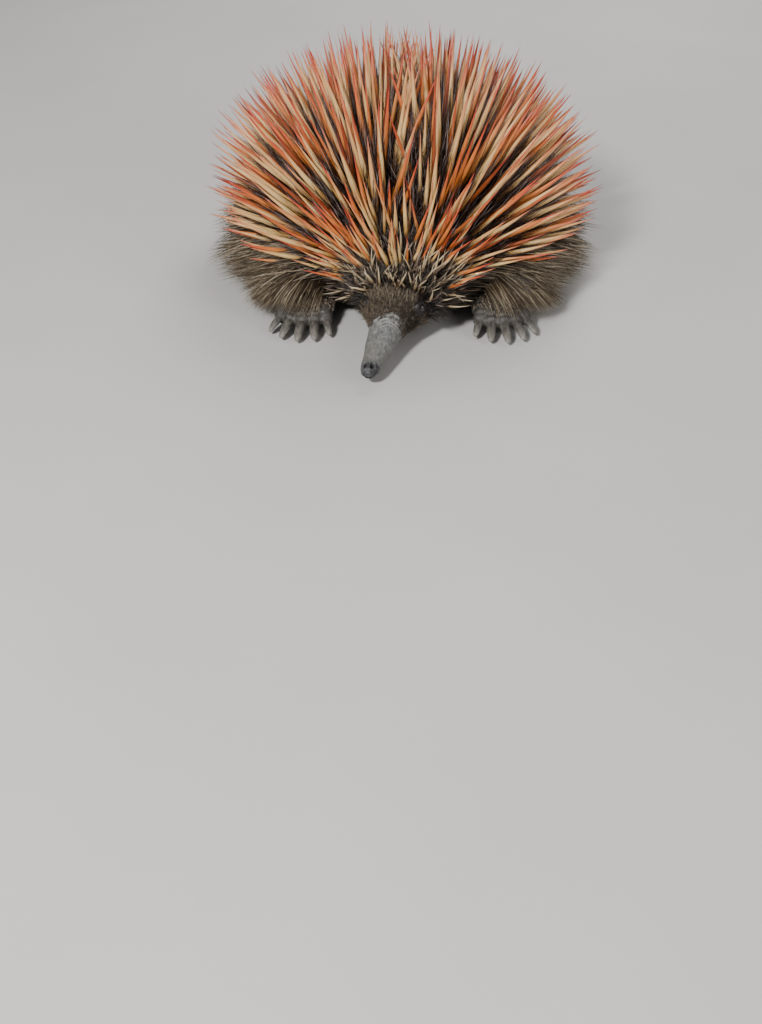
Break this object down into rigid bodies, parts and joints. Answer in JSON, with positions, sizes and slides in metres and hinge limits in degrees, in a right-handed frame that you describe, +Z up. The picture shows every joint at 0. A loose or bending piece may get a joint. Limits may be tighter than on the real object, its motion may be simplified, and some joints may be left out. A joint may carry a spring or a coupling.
{
  "type": "echidna",
  "caption": "Short-beaked echidna, a small spiny egg-laying mammal, life-size and still, hunched on the ground with its spines raised, head low and slim beak to one side",
  "frame": {"origin": "the middle of the part's box in X and Y, on the floor that its soles rest on", "axes": "+Z up; the animal faces -Y, with its beak turned a little to its own right; +X is its left side"},
  "size_m": [0.2348, 0.3122, 0.1322],
  "materials": {
    "coat": "smooth horn spines, pale in the middle, amber at the root and rusty at the tip, over dark bristles",
    "fur": "coarse grey-brown hair",
    "skin": "bare wrinkled grey skin",
    "claw": "worn pale horn",
    "eye": "wet and black"
  },
  "bodies": {
    "root": {"beak": "skin", "claw_fore_left_1": "claw", "claw_fore_left_2": "claw", "claw_fore_left_3": "claw", "claw_fore_left_4": "claw", "claw_fore_left_5": "claw", "claw_fore_right_1": "claw", "claw_fore_right_2": "claw", "claw_fore_right_3": "claw", "claw_fore_right_4": "claw", "claw_fore_right_5": "claw", "claw_hind_left_1": "claw", "claw_hind_left_2": "claw", "claw_hind_left_3": "claw", "claw_hind_left_4": "claw", "claw_hind_left_5": "claw", "claw_hind_right_1": "claw", "claw_hind_right_2": "claw", "claw_hind_right_3": "claw", "claw_hind_right_4": "claw", "claw_hind_right_5": "claw", "eye_left": "eye", "eye_right": "eye", "forefoot_left": "skin", "forefoot_right": "skin", "foreleg_left": "fur", "foreleg_right": "fur", "head": "fur", "hindfoot_left": "skin", "hindfoot_right": "skin", "hindleg_left": "fur", "hindleg_right": "fur", "tail": "fur", "torso": "coat"}
  },
  "joints": []
}
